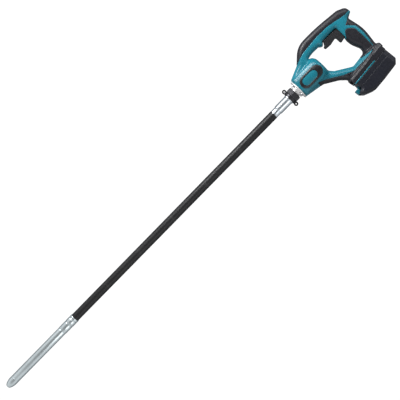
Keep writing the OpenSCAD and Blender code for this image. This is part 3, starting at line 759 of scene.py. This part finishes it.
def battery_pieces():
    """The two battery case shells and the release button."""
    grid = BatteryGrid((-16, -38.4, -48), (49, 38.4, 84), 0.8)
    u, w = grid.in_battery()
    y = grid.y
    parts = (u, y, w)
    body = battery_body(u, y, w)
    shell = np.maximum(body, -(body + BATTERY_WALL))
    rail = np.minimum(box_field(parts, (-11.05, 0, 21), (5.9, 56.2, 108), 0.6),
                      box_field(parts, (-4, 0, 21), (8.6, 48.2, 108), 0.6))
    blades = np.minimum(box_field(parts, (-7.3, 0, 50), (15.4, 28, 60)),
                        box_field(parts, (0, 0, 40), (8, 28, 40)))
    space = button_space(parts)
    lower = np.minimum(np.maximum(shell, u - SEAM_U), rail)
    lower = cut(cut(lower, blades, 0.4), space, 0.6)
    upper = cut(np.maximum(shell, SEAM_U - u), space, 0.6)
    piece(net_object("battery_case_lower", lower, grid), "battery", "battery_plastic",
          "battery_case_lower")
    piece(net_object("battery_case_upper", upper, grid), "battery", "battery_plastic",
          "battery_case_upper")

    small = BatteryGrid((-20, -14, -53), (25, 14, -22), 0.5)
    u, w = small.in_battery()
    parts = (u, small.y, w)
    pad = box_field(parts, (16.75, 0, -44.8), (12.5, 26, 12.4), 2)
    web = box_field(parts, (10, 0, -32), (8, 12, 16), 0.6)
    latch = box_field(parts, (-2, 0, -27.5), (32, 12, 7), 0.8)
    piece(net_object("battery_button", union(np.minimum(latch, web), pad, 0.6), small),
          "release_button", "teal_plastic", "battery_button")


# ---------- Nose ----------
def nose_flange():
    """The cast flange under the barrel, with its screw holes and the boss for the coupling."""
    grid = Grid((-29, -29, -17), (29, 29, 18), 0.6)
    rho = np.hypot(grid.x, grid.y)
    half = [(13, -16), (13, -0.3), (18.3, -0.3), (18.3, 2.8), (17, 3.4), (17, 6), (27, 6),
            (28, 7), (28, 9), (27, FLANGE_H), (16, FLANGE_H), (16, FLANGE_BOSS_TOP)]
    outline = np.array(half + [(-r, z) for r, z in half[::-1]], float)
    flange = outline_distance(outline, rho, grid.z + 0 * grid.x)
    bore = np.maximum(rho - 11.02, 9 - grid.z)
    flange = cut(flange, np.minimum(rho - 7.5, bore), 0.4)
    for turn in (45, 135, 225, 315):
        cx, cy = math.cos(math.radians(turn)), math.sin(math.radians(turn))
        hole = np.hypot(grid.x - FLANGE_SCREW_AT * cx, grid.y - FLANGE_SCREW_AT * cy) - 2.1
        flange = cut(flange, hole, 0.4)
    piece(net_object("nose_flange", flange, grid), "housing", "cast_alloy", "nose_flange")


def joint_nut():
    """The hexagonal nut, with its corners turned away at both ends."""
    grid = Grid((-21, -21, -19), (21, 21, -2), 0.5)
    rho = np.hypot(grid.x, grid.y)
    height = np.abs(grid.z - NUT_MIDDLE)
    c, s = math.cos(NUT_TURN), math.sin(NUT_TURN)
    x, y = np.abs(grid.x * c + grid.y * s), np.abs(grid.y * c - grid.x * s)
    flats = np.maximum(y, x * math.sqrt(0.75) + y / 2)
    nut = both(flats - NUT_FLAT, height - 7.4, 0.8)
    nut = both(nut, (rho - 20 + 0.8 * (height - 4.8)) / 1.28, 0.8)
    piece(net_object("joint_nut", cut(nut, rho - SLEEVE_BORE_R, 0.5), grid), "housing", "dark_steel",
          "joint_nut")


def strap_hanger():
    """The ring under the nut with an eye for the strap on each side."""
    grid = Grid((-28.5, -18.5, -29), (28.5, 18.5, -15.5), 0.45)
    rho = np.hypot(grid.x, grid.y)
    out, height = np.abs(grid.x) - EYE_X, np.abs(grid.z - RING_MIDDLE)
    from_eye = np.hypot(out, height)
    ring = both(rho - 17.5, height - 3.9, 1.2)
    lug = np.minimum(from_eye - 5.8, np.maximum(out, height - 3.9))
    hanger = union(ring, both(lug, np.abs(grid.y) - 3, 1), 3)
    hanger = cut(hanger, np.minimum(rho - SLEEVE_BORE_R, from_eye - EYE_R), 0.6)
    piece(net_object("strap_hanger", hanger, grid), "housing", "dark_steel", "strap_hanger")


def sleeve_piece():
    """The plated sleeve that holds the top end of the hose."""
    profile = [(7.5, -16.4), (13, -16.4), (13, -26), (14.4, -26), (14.4, -28.5), (13, -30),
               (13, -66), (11.6, -67.5), (11.6, SLEEVE_BOTTOM), (10.5, SLEEVE_BOTTOM),
               (10.5, -30), (7.5, -30)]
    piece(lathe("hose_sleeve", chamfered(profile)), "housing", "bright_steel", "hose_sleeve")


# ---------- Hose ----------
def hose_hinges():
    """The hose's hinges from the top down: body above, body below, height, and if it bends sideways."""
    joints = [j for j in frame["joints"] if j["name"].startswith("hose_bend")]
    joints.sort(key=lambda j: -j["pos_m"][2])
    return [(j["parent"], j["child"], j["pos_m"][2] / MM - NOSE_Z, j["axis"][1] != 0)
            for j in joints]


def hose_pieces():
    """One length of hose round each hinge, meeting its neighbours between hinges.

    Each length is a straight tube that rides on no body, so nothing here bends it with the hinges."""
    hinges = hose_hinges()
    mids = [(above[2] + below[2]) / 2 for above, below in zip(hinges, hinges[1:])]
    tops, bottoms = [SLEEVE_BOTTOM] + mids, mids + [HOSE_END]
    nodes = ["hose_top"] + [f"hose_{k}" for k in range(1, len(hinges))] + ["hose_bottom"]
    for k, ((upper, lower, _, sideways), top, bottom) in enumerate(zip(hinges, tops, bottoms)):
        outside = [(HOSE_R, z) for z in np.linspace(top, bottom, 25)]
        inside = [(HOSE_INNER_R, z) for z in np.linspace(bottom, top, 25)]
        if k == 0:
            outside = [(SPIGOT_R, top + SPIGOT_LEN), (SPIGOT_R, top + 0.1), (HOSE_R - 0.6, top + 0.05),
                       (HOSE_R, top - 0.5)] + outside[1:]
            inside = inside + [(HOSE_INNER_R, top + SPIGOT_LEN)]
        if k == len(hinges) - 1:
            outside = outside[:-1] + [(HOSE_R, bottom + 0.5), (HOSE_R - 0.6, bottom - 0.05),
                                      (SPIGOT_R, bottom - 0.1), (SPIGOT_R, bottom - SPIGOT_LEN)]
            inside = [(HOSE_INNER_R, bottom - SPIGOT_LEN)] + inside
        tube = piece(lathe(f"hose_length_{k + 1}", outside + inside, 64), None, "hose_rubber",
                     nodes[k], nodes[k + 1])
        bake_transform(tube)


# ---------- Head ----------
def head_pieces():
    """The ferrule, the ground case and the coned tip of the vibrating head."""
    end, case, bottom = HOSE_END, high("head_case").z, HEAD_BOTTOM
    joint = [(10.5, end), (12.7, end), (13.3, end - 1), (13.3, end - 6.5), (12.5, end - 7),
             (12.5, end - 8.5), (13.3, end - 9), (13.3, end - 23), (12.5, end - 23.5),
             (12.5, end - 25), (13, end - 25.5), (13, case + 1), (12.4, case), (10, case),
             (10, case - 14), (7.5, case - 14), (7.5, case - 7), (6.4, case - 7),
             (6.4, end - 24.5), (10.5, end - 24.5)]
    piece(lathe("head_joint", chamfered(joint, 0.35)), "head", "head_steel", "head_joint")
    tube = [(10.05, case), (12.1, case), (HEAD_R, case - 1), (HEAD_R, TIP_TOP + 0.4),
            (HEAD_R - 0.35, TIP_TOP), (9.6, TIP_TOP), (9.6, case - 16), (10.05, case - 16)]
    piece(lathe("head_case", chamfered(tube, 0.25)), "head", "head_steel", "head_case")
    tip = [(0, TIP_TOP + 12), (9.4, TIP_TOP + 12), (9.4, TIP_TOP), (HEAD_R - 0.35, TIP_TOP),
           (HEAD_R, TIP_TOP - 0.4), (HEAD_R, TIP_TOP - 14), (12.2, TIP_TOP - 16),
           (11.2, TIP_TOP - 21), (9.6, TIP_TOP - 26.5), (7.4, bottom + 2.2), (6, bottom + 0.8),
           (4.4, bottom), (0, bottom)]
    piece(lathe_solid("head_tip", tip), "head", "head_steel", "head_tip")


# ---------- Stage ----------
def floor_material():
    """Pale matt floor: near white to the camera, dim in reflections, and clear from behind."""
    made, add, link, shader = material("floor")
    ray = add("ShaderNodeLightPath")

    def mixed(share, first, second):
        mix = add("ShaderNodeMixShader")
        link(share, mix.inputs["Fac"])
        link(first, mix.inputs[1])
        link(second, mix.inputs[2])
        return mix.outputs["Shader"]

    cloud = noise_of(add, link, add("ShaderNodeTexCoord"), 2.0, 3.0)
    tone = tinted(add, link, cloud, (0.90, 0.90, 0.90), (0.93, 0.93, 0.93))
    link(tone.outputs["Result"], shader.inputs["Base Color"])
    shader.inputs["Roughness"].default_value = 0.9
    shader.inputs["Specular IOR Level"].default_value = 0.1
    glow = add("ShaderNodeEmission", Color=(1.0, 1.0, 1.0, 1), Strength=1.12)
    seen = add("ShaderNodeMath", operation="MULTIPLY")
    seen.inputs[1].default_value = 0.85
    link(ray.outputs["Is Camera Ray"], seen.inputs[0])
    lit = mixed(seen.outputs["Value"], shader.outputs["BSDF"], glow.outputs["Emission"])
    dim = add("ShaderNodeEmission", Color=(0.9, 0.95, 1.0, 1), Strength=0.3)
    mirrored = mixed(ray.outputs["Is Glossy Ray"], lit, dim.outputs["Emission"])
    clear = add("ShaderNodeBsdfTransparent")
    behind = add("ShaderNodeNewGeometry").outputs["Backfacing"]
    out = next(n for n in made.node_tree.nodes if n.type == "OUTPUT_MATERIAL")
    link(mixed(behind, mirrored, clear.outputs["BSDF"]), out.inputs["Surface"])
    return made


def floor():
    """The floor the tool lies over, seen from above."""
    mesh = bpy.data.meshes.new("floor")
    corners = [(-1, -1), (1, -1), (1, 1), (-1, 1)]
    mesh.from_pydata([(x * FLOOR_REACH, FLOOR_Y, z * FLOOR_REACH) for x, z in corners], [],
                     [(0, 1, 2, 3)])
    mesh.materials.append(floor_material())
    obj = bpy.data.objects.new("floor", mesh)
    bpy.context.scene.collection.objects.link(obj)


def sky():
    """A pale sky, white to the camera and, in reflections, dim behind the camera."""
    world = bpy.data.worlds.new("studio")
    bpy.context.scene.world = world
    world.use_nodes = True
    nodes, link = world.node_tree.nodes, world.node_tree.links.new
    background = nodes["Background"]
    background.inputs["Color"].default_value = SKY_COLOUR
    ray = nodes.new("ShaderNodeLightPath")
    way = nodes.new("ShaderNodeSeparateXYZ")
    link(nodes.new("ShaderNodeTexCoord").outputs["Generated"], way.inputs["Vector"])
    side = nodes.new("ShaderNodeMapRange")
    for key, number in zip(("From Min", "From Max", "To Min", "To Max"), (-1.0, -0.6, *SKY_MIRRORED)):
        side.inputs[key].default_value = number
    link(way.outputs["Y"], side.inputs["Value"])
    mirrored = nodes.new("ShaderNodeMix")
    mirrored.inputs["A"].default_value = SKY_LIGHT
    link(side.outputs["Result"], mirrored.inputs["B"])
    link(ray.outputs["Is Glossy Ray"], mirrored.inputs["Factor"])
    seen = nodes.new("ShaderNodeMix")
    seen.inputs["B"].default_value = 1.0
    link(mirrored.outputs["Result"], seen.inputs["A"])
    link(ray.outputs["Is Camera Ray"], seen.inputs["Factor"])
    link(seen.outputs["Result"], background.inputs["Strength"])


def lights():
    """Soft square lights that all face the middle of the tool."""
    for name, place, size, power in LIGHTS:
        light = bpy.data.lights.new(name, "AREA")
        light.shape, light.size, light.energy = "SQUARE", size, power
        lamp = bpy.data.objects.new(name, light)
        lamp.location = LIGHT_CENTRE + Vector(place)
        lamp.rotation_euler = (-Vector(place)).to_track_quat("-Z", "Y").to_euler()
        lamp.visible_camera = False
        bpy.context.scene.collection.objects.link(lamp)


def camera():
    """The catalogue view: square on to the side of the tool, with the tool across the picture."""
    back = Vector((math.sin(CAMERA_TURN) * math.cos(CAMERA_RISE),
                   -math.cos(CAMERA_TURN) * math.cos(CAMERA_RISE), math.sin(CAMERA_RISE)))
    right = Vector((math.cos(CAMERA_TURN), math.sin(CAMERA_TURN), 0))
    up = back.cross(right)
    across = right * math.cos(CAMERA_ROLL) + up * math.sin(CAMERA_ROLL)
    above = up * math.cos(CAMERA_ROLL) - right * math.sin(CAMERA_ROLL)
    data = bpy.data.cameras.new("camera")
    data.lens, data.sensor_width, data.clip_end = CAMERA_LENS, 36.0, 50
    eye = bpy.data.objects.new("camera", data)
    place = CAMERA_TARGET + back * CAMERA_DISTANCE
    matrix = [[across[i], above[i], back[i], place[i]] for i in range(3)] + [[0, 0, 0, 1]]
    bpy.context.scene.collection.objects.link(eye)
    eye.matrix_world = Matrix(matrix)
    bpy.context.scene.camera = eye


dress_cad_nodes()
handle_pieces()
badge_bezels()
trigger_piece()
lock_piece()
battery_pieces()
nose_flange()
joint_nut()
strap_hanger()
sleeve_piece()
hose_pieces()
head_pieces()
floor()
sky()
lights()
camera()
bpy.context.scene.view_settings.view_transform = "Standard"
